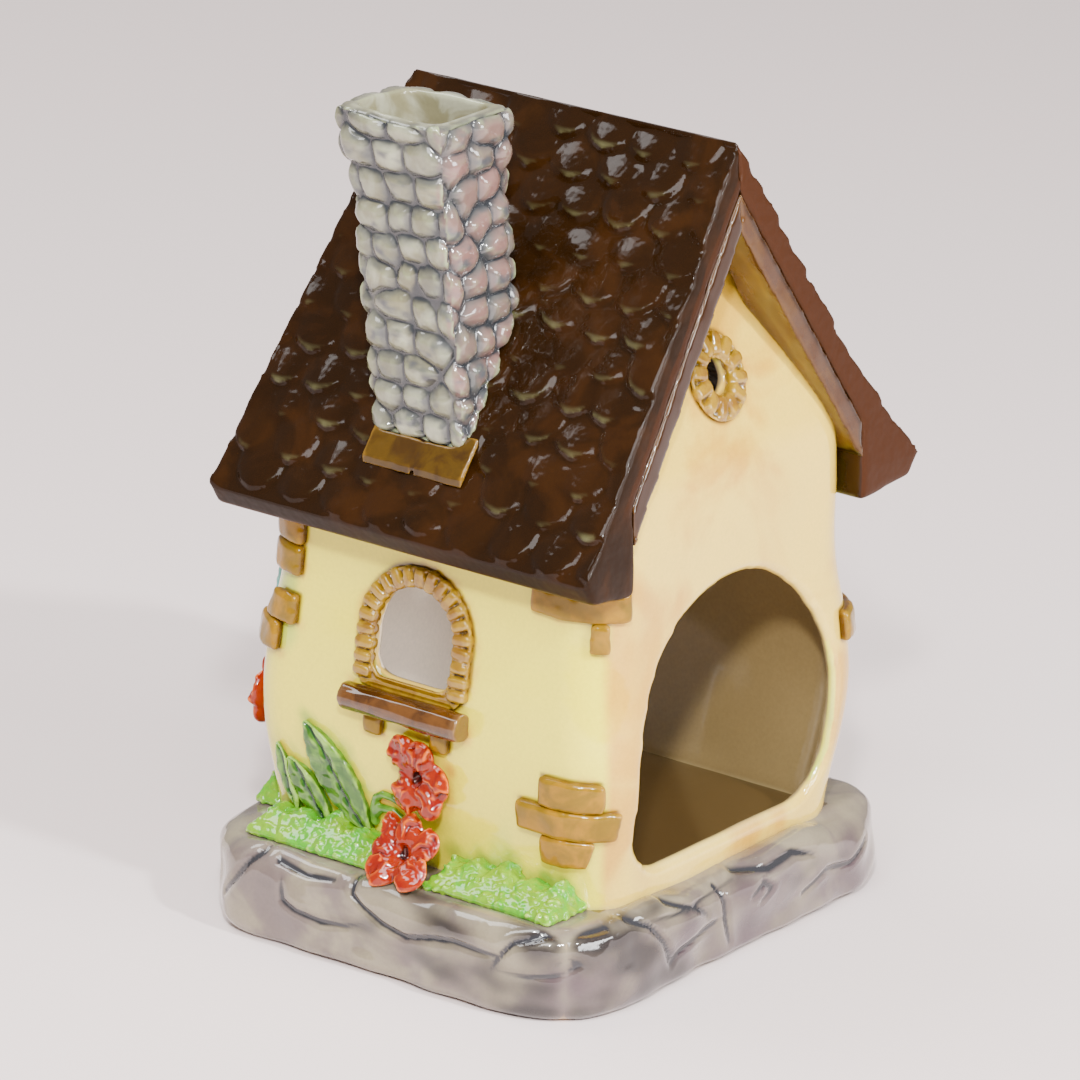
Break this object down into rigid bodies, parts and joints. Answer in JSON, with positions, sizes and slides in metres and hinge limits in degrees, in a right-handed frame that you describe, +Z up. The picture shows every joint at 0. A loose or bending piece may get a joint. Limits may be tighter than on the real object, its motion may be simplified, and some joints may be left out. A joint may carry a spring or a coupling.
{
  "type": "ceramic cottage birdhouse",
  "caption": "Glazed ceramic cottage with a scalloped roof, stone chimney with open flue, arched doorway in the gable, side windows and applied poppies, on a stone plinth.",
  "frame": {"origin": "middle of the plinth's footprint, on the ground", "axes": "+Z up, the ridge along Y, -Y is the gable with the arched doorway, -X the wall below the chimney"},
  "size_m": [0.1424, 0.1205, 0.2105],
  "materials": {
    "plinth_stone": "glossy clear glaze over hand-painted underglaze colour",
    "roof_shingle": "glossy clear glaze over hand-painted underglaze colour",
    "verge_wood": "glossy clear glaze over hand-painted underglaze colour",
    "chimney_stone": "glossy clear glaze over hand-painted underglaze colour",
    "apron_tile": "glossy clear glaze over hand-painted underglaze colour",
    "gable_plaster": "glossy clear glaze over hand-painted underglaze colour",
    "side_plaster": "glossy clear glaze over hand-painted underglaze colour",
    "ochre_brick": "glossy clear glaze over hand-painted underglaze colour",
    "sill_log": "glossy clear glaze over hand-painted underglaze colour",
    "corner_stone": "glossy clear glaze over hand-painted underglaze colour",
    "poppy_red": "glossy clear glaze over hand-painted underglaze colour",
    "leaf_green": "glossy clear glaze over hand-painted underglaze colour",
    "grass_green": "glossy clear glaze over hand-painted underglaze colour",
    "teal_wood": "glossy clear glaze over hand-painted underglaze colour",
    "door_wood": "glossy clear glaze over hand-painted underglaze colour",
    "step_stone": "glossy clear glaze over hand-painted underglaze colour",
    "knob_brass": "glossy clear glaze over hand-painted underglaze colour"
  },
  "bodies": {
    "root": {"base_plinth": "plinth_stone", "chimney_apron_tiles": "apron_tile", "chimney_side_door_verge_board": "verge_wood", "chimney_side_open_verge_board": "verge_wood", "chimney_side_roof": "roof_shingle", "chimney_side_sill_corbels": "ochre_brick", "chimney_side_wall": "side_plaster", "chimney_side_window_sill": "sill_log", "chimney_side_window_surround": "ochre_brick", "chimney_stack": "chimney_stone", "cottage_door": "door_wood", "door_corner_high_stones": "corner_stone", "door_corner_low_stones": "corner_stone", "door_gable_grass": "grass_green", "door_gable_leaf": "leaf_green", "door_gable_lower_poppy": "poppy_red", "door_gable_sill_corbels": "ochre_brick", "door_gable_upper_poppy": "poppy_red", "door_gable_wall": "gable_plaster", "door_gable_window_sill": "sill_log", "door_gable_window_surround": "ochre_brick", "door_knob": "knob_brass", "door_step": "step_stone", "door_surround": "corner_stone", "far_door_corner_stones": "corner_stone", "far_open_corner_stones": "corner_stone", "gable_vent_surround": "ochre_brick", "grass_far_clump": "grass_green", "grass_near_clump": "grass_green", "large_leaf": "leaf_green", "left_shutter": "teal_wood", "lower_poppy": "poppy_red", "middle_leaf": "leaf_green", "open_corner_high_stones": "corner_stone", "open_corner_low_stones": "corner_stone", "open_gable_wall": "gable_plaster", "plain_side_door_verge_board": "verge_wood", "plain_side_open_verge_board": "verge_wood", "plain_side_roof": "roof_shingle", "plain_side_sill_corbels": "ochre_brick", "plain_side_wall": "side_plaster", "plain_side_window_sill": "sill_log", "plain_side_window_surround": "ochre_brick", "poppy_stems": "leaf_green", "right_shutter": "teal_wood", "small_leaf": "leaf_green", "upper_poppy": "poppy_red"}
  },
  "joints": []
}
